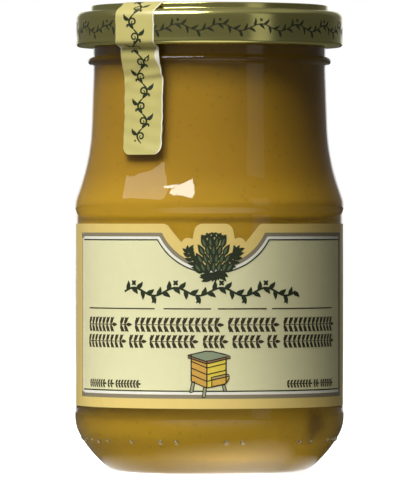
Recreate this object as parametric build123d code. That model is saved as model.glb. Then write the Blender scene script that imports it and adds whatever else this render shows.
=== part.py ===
from build123d import *
import os
from math import acos, asin, atan2, cos, degrees, radians, sin, sqrt, tan

# A filled glass jar with a twist-off lid, a wrapped label and a paper seal strip.
# Millimetres, +Z up. The origin is the centre of the ring that the jar stands on.
# The label's middle faces -Y.

# ---- overall --------------------------------------------------------------------
body_r = 30.70           # widest radius, on the low and the high bulge
height = 106.10          # from the standing ring to the top of the lid's panel

# ---- glass body -----------------------------------------------------------------
wall = 2.60              # glass thickness, square to the outer face
floor_z = 5.20           # inside floor above the standing plane
inner_heel_radius = 9.0

stand_land = 0.90        # radial width of the flat ring that touches the table
toe_radius = 4.0         # the three arcs of the heel, from that ring upwards
heel_radius = 26.0
heel_top_radius = 8.5
toe_turn = 38.5          # degrees that the first two of these arcs turn
heel_turn = 21.5
push_up = 2.0            # height of the hollow under the base
push_up_edge = 2.4       # radial width of the slope up from the standing ring

panel_low_z = 14.90      # lower end of the recessed panel that the label lies in
panel_recess = 0.35      # depth of that panel below the bulges
step_height = 2.00       # height of the soft step between a bulge and the panel
bulge_land = 0.10        # upright stretch of the high bulge below the shoulder

# ---- shoulder, neck and rim -----------------------------------------------------
shoulder_width = 4.16    # the neck's radius is this much less than the body's
shoulder_radius = 5.60   # the round at the shoulder's foot
shoulder_cone = 2.60     # length along its slope of the cone above that round
neck_length = 12.10      # height of the neck between the shoulder's sweep and its top
neck_slope = 2.0         # degrees from upright on that neck
neck_top_drop = 2.62     # the neck's top lies this much below the bead's middle
bead_reach = 1.26        # the bead stands this far out of the neck
bead_drop = 3.20         # the bead's middle lies this much below the lid
bead_radius = 0.85
bead_blend = 0.25
rim_round = 0.70

# ---- lid ------------------------------------------------------------------------
sheet = 0.22             # tinplate thickness
lid_height = 9.45        # from the lid's lower edge to its top
lid_clearance = 3.54     # from the upper neck to the inside of the skirt
lid_ledge = 3.35         # radial width of the shoulder round the raised panel
lid_step = 1.25          # the panel stands this much above the shoulder
lid_panel_round = 0.45
lid_foot_round = 0.40    # inside corner between the panel's side and the shoulder
lid_shoulder_round = 2.60
skirt_inset = 0.10       # the skirt's wall lies this much inside the rolled edge
roll_radius = 0.75       # outer radius of the rolled edge's section
roll_turn = 300.0        # degrees that the roll goes round
roll_start = 60.0        # degrees above level at which it starts
button_r = 11.0          # vacuum button in the middle of the panel
button_depth = 0.45
button_side = 1.20       # radial width of the button's sloping side

# ---- mustard --------------------------------------------------------------------
headspace = 5.20         # from the rim down to the mustard's surface

# ---- label ----------------------------------------------------------------------
glue_gap = 0.02
label_thickness = 0.10
label_height = 41.35
label_low_gap = 0.15     # bare glass between the label and the panel's two ends
label_high_gap = 2.00
label_turn = 1.8         # degrees that the label sits round towards +X
label_back_gap = 9.0     # length of arc left bare at the back
# One half of the die-cut top edge, as arc from the label's middle and depth below
# its top: a round-cornered tab, a small lobe beside it, and a notch.
tab_flat = (2.50, 0.0)
tab_side = (4.40, 1.75)
tab_foot = (4.75, 3.45)
lobe = (6.00, 3.15)
notch_bottom = (7.25, 4.15)
notch_bend = (8.75, 2.45)
notch_corner = (10.15, 0.72)
notch_end = (11.50, 0.0)
cut_above = 1.0          # cutters stand this much above what they cut

# ---- seal strip -----------------------------------------------------------------
strip_turn = -35.0       # degrees round from the front, towards -X
strip_width = 10.60
strip_thickness = 0.12
strip_top_length = 15.0  # along the lid's panel, from its edge inwards
strip_drop = 24.75       # from the lid's lower edge to the strip's lower end
strip_touch_drop = 7.45  # below the lid's edge it comes back to the neck
strip_corner = 2.0

# ---- what follows from these ----------------------------------------------------
rim_z = height - sheet
mustard_z = rim_z - headspace
shoulder_low_z = height - lid_step
lid_low_z = height - lid_height
bead_z = lid_low_z - bead_drop
neck_top_z = bead_z - neck_top_drop
neck_low_z = neck_top_z - neck_length
label_low_z = panel_low_z + label_low_gap
label_top_z = label_low_z + label_height
panel_high_z = label_top_z + label_high_gap
shoulder_z = panel_high_z + step_height + bulge_land
strip_low_z = lid_low_z - strip_drop
strip_touch_z = lid_low_z - strip_touch_drop

label_panel_r = body_r - panel_recess
label_r = label_panel_r + glue_gap
inner_body_r = body_r - wall
neck_r = body_r - shoulder_width
inner_neck_r = neck_r - wall
neck_foot_r = neck_r + neck_length * tan(radians(neck_slope))
bead_r = neck_r + bead_reach
skirt_r = neck_r + lid_clearance + sheet
lid_r = skirt_r + skirt_inset
lid_panel_r = skirt_r - lid_ledge

toe_end = radians(toe_turn)
heel_end = radians(toe_turn + heel_turn)
heel_spread = (
    toe_radius * sin(toe_end)
    + heel_radius * (sin(heel_end) - sin(toe_end))
    + heel_top_radius * (1 - sin(heel_end))
)
stand_r = body_r - heel_spread  # outer edge of the standing ring


def point(r, z):
    return Vector(r, z)


def shoulder_sweep():
    """Slope of the shoulder's cone, and radius of the hollow sweep from it to the neck.

    The cone's line meets the neck's line in a corner. The sweep's two ends lie equally
    far from that corner, so the corner's tangent to the round at the shoulder's foot is
    as long as that distance and the cone together.
    """
    span = point(neck_foot_r, neck_low_z) - point(body_r - shoulder_radius, shoulder_z)
    down = point(sin(radians(neck_slope)), -cos(radians(neck_slope)))
    power = span.dot(span) - shoulder_radius**2 - shoulder_cone**2
    tangent = power / (2 * (shoulder_cone - span.dot(down)))
    corner = span + down * tangent
    slope = atan2(corner.Y, corner.X) - atan2(shoulder_cone + tangent, shoulder_radius)
    return degrees(slope), tangent / tan((slope - radians(neck_slope)) / 2)


shoulder_slope, sweep_radius = shoulder_sweep()



def soft_step(start, side):
    """Two equal tangent arcs that carry an upright profile sideways by side."""
    turn = 2 * degrees(atan2(abs(side), step_height))
    radius = step_height / (2 * sin(radians(turn)))
    outwards = -1 if side > 0 else 1
    first = JernArc(start, (0, 1), radius, outwards * turn)
    return JernArc(first @ 1, first % 1, radius, -outwards * turn)


def shoulder_line(start, inset, end_r):
    """The shoulder's round, cone and sweep, and then the neck, which it returns."""
    first = JernArc(start, (0, 1), shoulder_radius - inset, shoulder_slope)
    cone = Line(first @ 1, (first @ 1) + (first % 1) * shoulder_cone)
    sweep = JernArc(cone @ 1, cone % 1, sweep_radius + inset, neck_slope - shoulder_slope)
    rise = ((sweep @ 1).X - end_r) / tan(radians(neck_slope))
    return Line(sweep @ 1, point(end_r, (sweep @ 1).Y + rise))


def solid_of(section):
    return revolve(Plane.XZ * section, Axis.Z)


def glass_outline():
    """Closed half section of the jar as if it were solid, with its bead."""
    with BuildSketch() as section:
        with BuildLine():
            land = Line(point(stand_r - stand_land, 0), point(stand_r, 0))
            toe = JernArc(land @ 1, (1, 0), toe_radius, toe_turn)
            heel = JernArc(toe @ 1, toe % 1, heel_radius, heel_turn)
            top = JernArc(heel @ 1, heel % 1, heel_top_radius, 90 - toe_turn - heel_turn)
            low = Line(top @ 1, point(body_r, panel_low_z - step_height))
            into = soft_step(low @ 1, label_panel_r - body_r)
            panel = Line(into @ 1, point(label_panel_r, panel_high_z))
            out = soft_step(panel @ 1, body_r - label_panel_r)
            bulge = Line(out @ 1, point(body_r, shoulder_z))
            neck = shoulder_line(bulge @ 1, 0, neck_r)
            half = sqrt(bead_radius**2 - (neck_r - bead_r + bead_radius) ** 2)
            under = Line(neck @ 1, point(neck_r, bead_z - half))
            bead = ThreePointArc(
                under @ 1, point(bead_r, bead_z), point(neck_r, bead_z + half)
            )
            finish = Line(bead @ 1, point(neck_r, rim_z))
            rim = Line(finish @ 1, point(0, rim_z))
            axis = Line(rim @ 1, point(0, push_up))
            dome_r = stand_r - stand_land - push_up_edge
            dome = ThreePointArc(
                axis @ 1, point(dome_r / 2, push_up * 0.95), point(dome_r, push_up * 0.8)
            )
            Line(dome @ 1, land @ 0)
        make_face()
        bead_ends = [
            v
            for v in section.vertices()
            if abs(v.X - neck_r) < 1e-6 and abs(abs(v.Y - bead_z) - half) < 1e-6
        ]
        fillet(bead_ends, bead_blend)
    return section.sketch


def inside_outline(top_z):
    """Closed half section of the jar's inside, from its floor up to top_z."""
    with BuildSketch() as section:
        with BuildLine():
            base = Line(point(0, floor_z), point(inner_body_r - inner_heel_radius, floor_z))
            heel = JernArc(base @ 1, (1, 0), inner_heel_radius, 90)
            side = Line(heel @ 1, point(inner_body_r, shoulder_z))
            neck = shoulder_line(side @ 1, wall, inner_neck_r)
            rise = Line(neck @ 1, point(inner_neck_r, top_z))
            top = Line(rise @ 1, point(0, top_z))
            Line(top @ 1, base @ 0)
        make_face()
    return section.sketch


def make_glass():
    """The jar: the outer form less its inside, with a rounded rim."""
    solid = solid_of(glass_outline()) - solid_of(inside_outline(rim_z + cut_above))
    rim_edges = solid.edges().filter_by(GeomType.CIRCLE).group_by(Axis.Z)[-1]
    return fillet(rim_edges, rim_round)


def make_mustard():
    return solid_of(inside_outline(mustard_z))


def make_lid():
    """Pressed tinplate: panel with a button, shoulder, skirt and rolled lower edge."""
    with BuildLine() as path:
        button = Line(
            point(0, height - button_depth),
            point(button_r - button_side, height - button_depth),
        )
        side = Line(button @ 1, point(button_r, height))
        panel = Line(side @ 1, point(lid_panel_r - lid_panel_round, height))
        edge = JernArc(panel @ 1, (1, 0), lid_panel_round, -90)
        drop = Line(edge @ 1, point(lid_panel_r, shoulder_low_z + lid_foot_round))
        foot = JernArc(drop @ 1, (0, -1), lid_foot_round, 90)
        ledge = Line(foot @ 1, point(skirt_r - lid_shoulder_round, shoulder_low_z))
        shoulder = JernArc(ledge @ 1, (1, 0), lid_shoulder_round, -90)
        Line(shoulder @ 1, point(skirt_r, skirt_foot_z()))
        offset(amount=sheet, side=Side.RIGHT)
    pressed = solid_of(make_face(path.line))
    return pressed + solid_of(roll_outline())


def skirt_foot_z():
    """Height at which the skirt's wall ends inside the wall of the rolled edge."""
    bore = roll_radius - sheet
    outer = sqrt(roll_radius**2 - (roll_radius - skirt_inset) ** 2)
    inner = sqrt(bore**2 - (bore - skirt_inset) ** 2)
    return lid_low_z + roll_radius + (outer + inner) / 2


def roll_outline():
    """Open ring section of the rolled edge."""
    centre = point(lid_r - roll_radius, lid_low_z + roll_radius)
    with BuildSketch() as section:
        with BuildLine():
            outer = CenterArc(centre, roll_radius, roll_start, -roll_turn)
            inner = CenterArc(centre, roll_radius - sheet, roll_start, -roll_turn)
            Line(outer @ 0, inner @ 0)
            Line(outer @ 1, inner @ 1)
        make_face()
    return section.sketch


def on_front(arc, depth):
    """A label point given by arc and depth, as seen square on from the front."""
    reach = label_r + label_thickness
    return Vector(reach * sin(arc / reach), label_top_z - depth)


def label_notch():
    """Cutter for the paper missing between the tab and the right half's top edge."""
    with BuildSketch(Plane.XZ) as section:
        with BuildLine():
            tab = TangentArc(on_front(*tab_flat), on_front(*tab_side), tangent=(1, 0))
            side = Line(tab @ 1, on_front(*tab_foot))
            bump = ThreePointArc(side @ 1, on_front(*lobe), on_front(*notch_bottom))
            rise = ThreePointArc(bump @ 1, on_front(*notch_bend), on_front(*notch_corner))
            end = TangentArc(rise @ 1, on_front(*notch_end), tangent=rise % 1)
            up = Line(end @ 1, (end @ 1) + Vector(0, cut_above))
            back = Line(up @ 1, (tab @ 0) + Vector(0, cut_above))
            Line(back @ 1, tab @ 0)
        make_face()
    return extrude(section.sketch, amount=2 * body_r)


def make_label():
    """Thin sleeve with a die-cut top edge at the front and a bare stretch behind."""
    band = Pos(label_r + label_thickness / 2, label_low_z + label_height / 2) * Rectangle(
        label_thickness, label_height
    )
    gap = degrees(label_back_gap / label_r)
    sleeve = revolve(Plane.XZ * band, Axis.Z, revolution_arc=360 - gap)
    # The sleeve starts at +X; this turn puts the middle of its gap at +Y.
    sleeve = Rot(0, 0, 90 + gap / 2) * sleeve
    notch = label_notch()
    cut = sleeve - notch - mirror(notch, Plane.YZ)
    return Rot(0, 0, label_turn) * cut


def strip_path():
    """Inner face of the strip in its own upright plane, from the lid down the neck."""
    edge = point(lid_panel_r - lid_panel_round, height - lid_panel_round)
    edge_r = lid_panel_round + glue_gap
    shoulder = point(skirt_r - lid_shoulder_round, shoulder_low_z - lid_shoulder_round)
    shoulder_r = lid_r + glue_gap - shoulder.X
    # The straight stretch from the panel's edge to the shoulder touches both rounds.
    apart = shoulder - edge
    lean = degrees(atan2(apart.Y, apart.X) + acos((edge_r - shoulder_r) / apart.length))
    roll = point(lid_r - roll_radius, lid_low_z + roll_radius)
    roll_r = roll_radius + glue_gap
    with BuildLine():
        neck = shoulder_line(point(body_r, shoulder_z), 0, neck_r)
    away = (neck % 1).rotate(Axis.Z, -90) * glue_gap
    share = (strip_touch_z - (neck @ 0).Y) / ((neck @ 1).Y - (neck @ 0).Y)
    touch = (neck @ share) + away
    reach = touch - roll
    leave = degrees(atan2(reach.Y, reach.X) + acos(roll_r / reach.length))
    bend = (neck @ 0) + away
    low_sin = sin(radians(neck_slope)) + (bend.Y - strip_low_z) / (sweep_radius - glue_gap)
    with BuildLine() as path:
        start = point(lid_panel_r - strip_top_length, height + glue_gap)
        top = Line(start, point(edge.X, height + glue_gap))
        over = CenterArc(edge, edge_r, 90, lean - 90)
        round_shoulder = CenterArc(shoulder, shoulder_r, lean, -lean)
        Line(over @ 1, round_shoulder @ 0)
        Line(round_shoulder @ 1, point(lid_r + glue_gap, roll.Y))
        under = CenterArc(roll, roll_r, 0, leave)
        Line(under @ 1, touch)
        Line(touch, bend)
        JernArc(
            bend,
            neck.tangent_at(0) * -1,
            sweep_radius - glue_gap,
            degrees(asin(low_sin)) - neck_slope,
        )
        offset(amount=strip_thickness, side=Side.LEFT)
    return path.line


def rounded_end(plane, start, far):
    """Prism as wide as the strip that begins at start with two rounded corners."""
    with BuildSketch() as section:
        with Locations((0, (start + far) / 2)):
            Rectangle(strip_width, abs(far - start))
        near = 0 if far > start else -1
        fillet(section.vertices().group_by(Axis.Y)[near], strip_corner)
    return extrude(plane * section.sketch, amount=2 * height)


def make_strip():
    """Paper band over the lid's edge: a turned section cut to width by two prisms."""
    band = revolve(Plane.XZ * make_face(strip_path()), Axis.Z)
    down_the_neck = rounded_end(Plane.XZ, strip_low_z, 2 * height)
    over_the_lid = rounded_end(Plane.XY, strip_top_length - lid_panel_r, -2 * lid_r)
    return Rot(0, 0, strip_turn) * (band & down_the_neck & over_the_lid)


os.makedirs("parts", exist_ok=True)
parts = {
    "jar_glass": make_glass(),
    "mustard": make_mustard(),
    "lid": make_lid(),
    "label": make_label(),
    "seal_strip": make_strip(),
}
for node, solid in parts.items():
    export_step(solid, f"parts/{node}.step")
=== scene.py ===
import math

import bpy
import numpy as np
from bpy.props import FloatProperty, FloatVectorProperty, IntProperty, PointerProperty
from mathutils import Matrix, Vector


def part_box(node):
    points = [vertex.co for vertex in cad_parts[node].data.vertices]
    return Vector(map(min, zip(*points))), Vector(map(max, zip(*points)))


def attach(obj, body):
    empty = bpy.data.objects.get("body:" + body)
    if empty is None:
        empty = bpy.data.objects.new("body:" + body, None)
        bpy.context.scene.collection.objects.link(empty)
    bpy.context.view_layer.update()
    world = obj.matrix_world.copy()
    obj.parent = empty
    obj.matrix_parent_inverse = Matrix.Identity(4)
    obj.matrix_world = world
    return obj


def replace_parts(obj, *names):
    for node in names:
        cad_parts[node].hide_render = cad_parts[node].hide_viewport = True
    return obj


bl_info = {
    "name": "Mustard Jar",
    "version": (1, 0, 0),
    "blender": (4, 5, 0),
    "location": "3D View > Sidebar > Mustard Jar",
    "description": "Builds a filled glass mustard jar with its lid, label and seal strip",
    "category": "Add Mesh",
}

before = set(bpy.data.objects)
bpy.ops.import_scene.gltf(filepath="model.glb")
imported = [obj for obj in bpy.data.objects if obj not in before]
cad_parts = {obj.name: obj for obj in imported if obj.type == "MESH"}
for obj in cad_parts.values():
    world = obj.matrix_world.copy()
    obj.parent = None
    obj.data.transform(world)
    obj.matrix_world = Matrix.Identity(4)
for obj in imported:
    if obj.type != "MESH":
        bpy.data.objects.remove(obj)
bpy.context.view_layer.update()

MM = 0.001

# ---- sizes that the frame gives, in metres ----
body_r, rim_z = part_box("jar_glass")[1].x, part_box("jar_glass")[1].z
floor_z, mustard_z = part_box("mustard")[0].z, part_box("mustard")[1].z
wall = body_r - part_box("mustard")[1].x
lid_low_z, lid_top_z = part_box("lid")[0].z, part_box("lid")[1].z
lid_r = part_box("lid")[1].x
label_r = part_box("label")[1].x
label_low_z, label_top_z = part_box("label")[0].z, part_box("label")[1].z
strip_low_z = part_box("seal_strip")[0].z

# ---- the jar's section, in metres, as in the frame ----
STEP = 1.0 * MM              # longest step between two points of a section
STAND_LAND = 0.90 * MM       # flat ring that touches the table
HEEL = ((4.0 * MM, 38.5), (26.0 * MM, 21.5), (8.5 * MM, 30.0))   # radius and turn
PUSH_UP, PUSH_UP_EDGE = 2.0 * MM, 2.4 * MM
INNER_HEEL_RADIUS = 9.0 * MM
INNER_STEP, INNER_STEP_DROP = 0.42 * MM, 0.1 * MM    # the inside follows the recess
PANEL_RECESS, STEP_HEIGHT, BULGE_LAND = 0.35 * MM, 2.0 * MM, 0.10 * MM
LOW_STEP = 0.24 * MM         # part of the recess that shows below the label
LABEL_LOW_GAP, LABEL_HIGH_GAP = 0.15 * MM, 2.0 * MM
SHOULDER_WIDTH, SHOULDER_RADIUS, SHOULDER_CONE = 4.16 * MM, 5.60 * MM, 2.60 * MM
NECK_LENGTH, NECK_SLOPE = 12.10 * MM, math.radians(2.0)
BEAD_DROP, NECK_TOP_DROP = 3.20 * MM, 5.82 * MM      # below the lid's lower edge
BEAD_REACH, BEAD_RADIUS, BEAD_BLEND = 1.26 * MM, 0.85 * MM, 0.25 * MM
RIM_ROUND = 0.70 * MM
MARKS_Z, MARK_R, MARK_RISE = 7.2 * MM, 0.62 * MM, 0.30 * MM      # glass beads on the heel
MARKS_START, MARKS_SPACING, MARKS_PLACES = -74.0, 7.4, 47        # in degrees
MARKS_EMPTY = {4, 6, 9, 10, 13, 14, 15, 18, 22, 23, 30, 37}      # places without a bead
WAVE_Z = 9.0 * MM            # height over which the wall's waves turn by one radian
MENISCUS_DROP, MENISCUS_REACH = 0.5 * MM, 1.5 * MM
SMEAR_TURN = math.radians(56)      # a brown smear in the mustard, low on the right
SMEAR_R, SMEAR_Z = 27.0 * MM, 11.6 * MM
SMEAR_CORE, SMEAR_EDGE = 1.0 * MM, 6.0 * MM
NECK_SHADE_LOW_Z, NECK_SHADE_HIGH_Z = 55.0 * MM, 68.0 * MM     # where the mustard is painted darker: painted shade of the lid over the neck

neck_r = body_r - SHOULDER_WIDTH
neck_low_z = lid_low_z - NECK_TOP_DROP - NECK_LENGTH
neck_foot_r = neck_r + NECK_LENGTH * math.tan(NECK_SLOPE)
shoulder_z = label_top_z + LABEL_HIGH_GAP + STEP_HEIGHT + BULGE_LAND

# ---- the lid's section ----
SHEET = 0.22 * MM
SKIRT_INSET, ROLL_RADIUS, ROLL_TURN = 0.06 * MM, 0.75 * MM, 240.0
LEDGE, LID_STEP = 3.35 * MM, 1.45 * MM
PANEL_ROUND, FOOT_ROUND, SHOULDER_ROUND = 0.32 * MM, 0.30 * MM, 1.65 * MM
BUTTON_R, BUTTON_DEPTH, BUTTON_SIDE = 11.0 * MM, 0.45 * MM, 1.20 * MM
skirt_r = lid_r - SKIRT_INSET
lid_panel_r = skirt_r - LEDGE

# ---- the seal strip ----
GLUE_GAP, STRIP_THICKNESS = 0.02 * MM, 0.10 * MM
STRIP_TOP_LENGTH, STRIP_TOUCH_DROP, STRIP_CORNER = 15.0 * MM, 7.45 * MM, 2.0 * MM
TUCK_TURN, TUCK_RUN, TUCK_RADIUS = 66.0, 1.2 * MM, 0.9 * MM   # where it goes under the roll
HANG, STRIP_MARGIN = 1.6 * MM, 0.12 * MM      # straight down below the roll; off each side
# creases: mm below the lid, slant across the strip, breadth in mm and share of the height
CREASES = ((7.2, 0.9, 0.8, 1.0), (2.2, -1.6, 0.7, 0.3), (9.6, -0.7, 1.4, 0.4),
           (4.4, 2.2, 0.9, 0.3))
LOOSE_ABOVE, LOOSE_OVER = 1.0 * MM, 3.0 * MM     # where the paper starts to lift
FADE_BELOW, FADE_OVER = 7.0 * MM, 6.0 * MM       # where it lies down on the neck again
# worn left and right edges of the print, in mm: margin, drop below the lid, breadth
WORN, WORN_EDGES = 0.9, ((0.03, 1.2, 0.7), (0.25, 3.6, 1.8))

# ---- the stage: lamps as azimuth and elevation, distance, width and height ----
LAMPS = {
    "key_softbox": (-36, 48, 0.95, 0.60, 0.42),
    "side_softbox": (-65, 35, 1.00, 0.70, 0.33),
    "right_card": (45, 14, 0.90, 0.27, 0.55),
    "back_fill": (168, 35, 1.00, 0.50, 0.40),
}
# bright patches of the floor: centre x and y, inner and outer radius in mm, and level
POOL = (2.5, -20.0, 0.0, 13.0, 4.2)          # mirrored by the front of the heel
POOL_NARROWED = (0.62, 1.0, 1.0)
RING = (0.0, 0.0, 22.0, 28.0, 1.5)           # mirrored by the heel's lowest edge
FAR_FIELD = (0.0, -180.0, 90.0, 140.0, 0.95)     # mirrored by the walls
NEAR_FIELD = (-4.0, -36.0, 26.0, 62.0, 1.0)      # lights the mustard through the glass
NEAR_BOOST = 1.95            # how much brighter it is to the mustard
FLOOR_HALF, FLOOR_Z = 3.0, -0.02 * MM
SHADED, SHADED_FROM, SHADED_TO = 0.82, 80 * MM, 300 * MM     # less white near the jar
# the room that gloss and glass see: shares of x, z and y between which its level changes
DARKER_RIGHT, LEFT_LEVEL = (0.45, 0.75), 2.2
CEILING, CEILING_LEVEL = (0.55, 0.80), 4.0
WHITE_WALL = (0.93, 0.97)    # straight behind the jar

# ---- the label, in mm ----
FINE_HALF, LONGEST_HALF = 16.0, 92.0         # arcs with fine steps; longer than any label
LINE_START, BAND_IN, BAND_OUT = 0.9, 0.4, 1.1    # frame lines on the left; band on the right
HIVE_DEPTH, HIVE_ASIDE = 33.4, -0.95
INK_LIFT, ORNAMENT_LIFT, OVERPRINT_LIFT, INK_SINK = 0.03 * MM, 0.045 * MM, 0.06 * MM, 0.01 * MM
# one half of its die-cut top edge, as arcs through three points (arc from the middle, depth)
TAB = ((2.50, 0.0), (3.79, 0.50), (4.40, 1.75))
LOBE = ((4.75, 3.45), (6.00, 3.15), (7.25, 4.15))
NOTCH = ((7.25, 4.15), (8.75, 2.45), (10.15, 0.72))
NOTCH_END = ((10.15, 0.72), (10.75, 0.21), (11.50, 0.0))


def linear(hex_colour):
    """An sRGB hex colour as linear red, green, blue and alpha."""
    srgb = np.array([int(hex_colour[i:i + 2], 16) for i in (1, 3, 5)]) / 255
    low, high = srgb / 12.92, ((srgb + 0.055) / 1.055) ** 2.4
    return (*np.where(srgb <= 0.04045, low, high).tolist(), 1.0)


# ---- settings ----
def length(name, description, mm):
    return FloatProperty(name=name, description=description, default=mm * MM,
                         unit="LENGTH", precision=5)


def turn(name, description, degrees):
    return FloatProperty(name=name, description=description,
                         default=math.radians(degrees), unit="ROTATION")


def tint(name, description, hex_colour):
    return FloatVectorProperty(name=name, description=description, size=4, min=0, max=1,
                               default=linear(hex_colour), subtype="COLOR")


def number(name, description, value):
    return FloatProperty(name=name, description=description, default=value)


class JarSettings(bpy.types.PropertyGroup):
    """The glass jar and the mustard in it."""

    segments: IntProperty(name="Segments", description="Faces round the jar",
                          default=320, min=32, max=512)
    waviness: length("Waviness", "How far the pressed wall wanders in and out", 0.05)
    glass: tint("Glass", "Tint of the flint glass", "#FBFDFA")
    paste: tint("Mustard", "Colour of the mustard", "#AC8820")
    paste_dark: tint("Dark Mustard", "Colour of its darker patches", "#A07C1A")
    paste_neck_shade: tint("Neck Mustard", "Colour of the mustard in the neck", "#8D6B17")
    # painted shade: the mustard in the neck is drawn darker where the lid shades it
    seeds: tint("Bran", "Colour of the ground seed hulls in it", "#5E4413")
    into_wall: length("Into the Wall", "How far the mustard reaches into the glass", 0.15)


class LidSettings(bpy.types.PropertyGroup):
    """The twist-off lid."""

    lacquer: tint("Lacquer", "Gold lacquer over the tin", "#DDD47A")
    worn: tint("Thin Lacquer", "Where the lacquer is thinner", "#E2DC90")
    ink: tint("Ink", "Dark print on the skirt", "#2C2F1C")
    garland_low: length("Garland Foot", "From the lid's edge up to the garland", 1.15)
    garland_height: length("Garland Height", "Height of the printed garland", 5.1)


class LabelSettings(bpy.types.PropertyGroup):
    """The wrapped paper label and the fields printed on it."""

    turned: turn("Turn", "How far the label sits round the jar", 1.8)
    thickness: length("Thickness", "Paper thickness", 0.10)
    back_gap: length("Back Gap", "Bare glass between the label's two ends", 9.0)
    paper: tint("Paper", "Cream front panel", "#EAE6B6")
    gold: tint("Gold", "Gold border", "#ECD07C")
    taupe: tint("Taupe", "Broad line of the frame", "#8F856C")
    white: tint("White", "White line of the frame", "#F6F3E4")
    ink: tint("Ink", "Dark green printing ink", "#2A331F")
    brown_ink: tint("Brown Ink", "Ink of the leaf rows", "#3C3624")
    top_border: length("Top Border", "Gold above the frame", 2.0)
    bottom_border: length("Bottom Border", "Gold below the frame", 2.25)
    medallion_r: length("Medallion", "Radius of the gold half round", 13.15)
    medallion_rise: length("Medallion Rise", "Its centre above the label's top", 3.8)
    frame_half: length("Frame Half Width", "Arc from the middle to the frame's side", 38.4)


class StripSettings(bpy.types.PropertyGroup):
    """The paper seal strip."""

    turned: turn("Turn", "How far the strip sits round the jar", -34.0)
    width: length("Width", "Width of the strip", 10.6)
    paper: tint("Paper", "Paper at the cut edges", "#F4F1DC")
    ground: tint("Ground", "Straw colour printed on it", "#C8BD74")
    ink: tint("Ink", "Dark green printing ink", "#27301A")
    crumple: length("Crumple", "How far the paper lifts in its creases", 0.28)


class StageSettings(bpy.types.PropertyGroup):
    """Camera and lamps."""

    distance: length("Distance", "From the camera to the jar's axis", 1350.0)
    eye_z: length("Eye Height", "Height of the camera", 57.6)
    aim_z: length("Aim", "Height that the camera points at", 53.0)
    view_height: length("View Height", "Height of the view at the jar's axis", 108.95)
    key: number("Key", "Radiance of the key lamp", 14.0)
    side: number("Side", "Radiance of the left lamp", 2.3)
    card: number("Card", "Radiance of the right card", 0.35)
    back: number("Back", "Radiance of the lamp behind", 7.0)
    ambient: number("Ambient", "Plain light from all round", 0.05)
    surround: number("Surround", "What gloss sees of the dark room", 0.07)


# ---- meshes ----
def lattice_faces(index, closed=False):
    """Quads over lattices of vertex numbers, shape (..., rows, columns)."""
    right = np.roll(index, -1, axis=-1)
    if not closed:
        index, right = index[..., :-1], right[..., :-1]
    quads = np.stack([index[..., :-1, :], right[..., :-1, :],
                      right[..., 1:, :], index[..., 1:, :]], -1)
    return quads.reshape(-1, 4)


def put(name, data):
    """A new object in the scene, at the origin."""
    made = bpy.data.objects.new(name, data)
    bpy.context.scene.collection.objects.link(made)
    return made


def make_piece(name, points, faces, material, slot, smooth_below=35.0):
    """A mesh object at the origin from points in metres and lists of corner numbers."""
    mesh = bpy.data.meshes.new(name)
    corners = [face for group in faces for face in group.tolist()]
    mesh.from_pydata(points.reshape(-1, 3).tolist(), [], corners)
    mesh.shade_smooth()
    mesh.set_sharp_from_angle(angle=math.radians(smooth_below))
    mesh.materials.append(material)
    piece = put(name, mesh)
    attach(piece, "root")
    return piece


def walk(path, heading, *runs):
    """A point or a path, extended by straight runs and tangent arcs in radius and height.

    A run is (size, turn): a straight run of that length where turn is 0, and otherwise an
    arc of that radius that turns by that many degrees, to the left where it is positive.
    The heading is in degrees, 0 outwards and 90 upwards. On an arc of radius q the point
    moves by q (sin h - sin h0, cos h0 - cos h) while the heading goes from h0 to h.
    """
    points = [np.atleast_2d(np.array(path, float))]
    at = points[0][-1]
    h0 = math.radians(heading)
    for size, turned in runs:
        sweep = math.radians(turned)
        reach = abs(size * sweep) if turned else size
        count = max(1, math.ceil(abs(turned) / 5), math.ceil(reach / STEP))
        share = np.arange(1, count + 1) / count
        if turned:
            h = h0 + sweep * share
            move = math.copysign(size, turned) * np.stack(
                [np.sin(h) - math.sin(h0), math.cos(h0) - np.cos(h)], 1)
            h0 += sweep
        else:
            move = size * share[:, None] * [math.cos(h0), math.sin(h0)]
        points.append(at + move)
        at = points[-1][-1]
    return np.concatenate(points)


def direction(paths):
    """Unit directions along paths of points, which run along the last axis but one."""
    ahead = np.gradient(paths, axis=-2)
    return ahead / (np.linalg.norm(ahead, axis=-1, keepdims=True) + 1e-12)


def reach_along(path):
    """How far along a path each of its points lies."""
    return np.concatenate([[0], np.cumsum(np.linalg.norm(np.diff(path, axis=0), axis=1))])


def around(r, a, z):
    """Points at radius r, height z and turn a, which goes from the front to the right."""
    return np.stack(np.broadcast_arrays(r * np.sin(a), -r * np.cos(a), z), -1)


def lathe(profile, segments, wander=None):
    """A surface of revolution: (r, z) at turn a lies at (r sin a, -r cos a, z).

    The profile runs from the axis back to the axis with the solid on its left, so its
    first and last points are single poles. wander(a, r, z) is added to the radius.
    """
    a = np.arange(segments) * 2 * math.pi / segments
    ring = profile[1:-1]
    r, z = ring[:, :1] + 0 * a, ring[:, 1:]
    if wander:
        r += wander(a, r, z)
    points = around(r, a, z)
    poles = np.array([[0, 0, profile[0, 1]], [0, 0, profile[-1, 1]]])
    index = np.arange(r.size).reshape(r.shape)
    first, last = np.roll(index[0], -1), np.roll(index[-1], -1)
    start = np.stack([np.full(segments, r.size), first, index[0]], 1)
    end = np.stack([index[-1], last, np.full(segments, r.size + 1)], 1)
    faces = [lattice_faces(index, closed=True), start, end]
    return np.concatenate([points.reshape(-1, 3), poles]), faces


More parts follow.
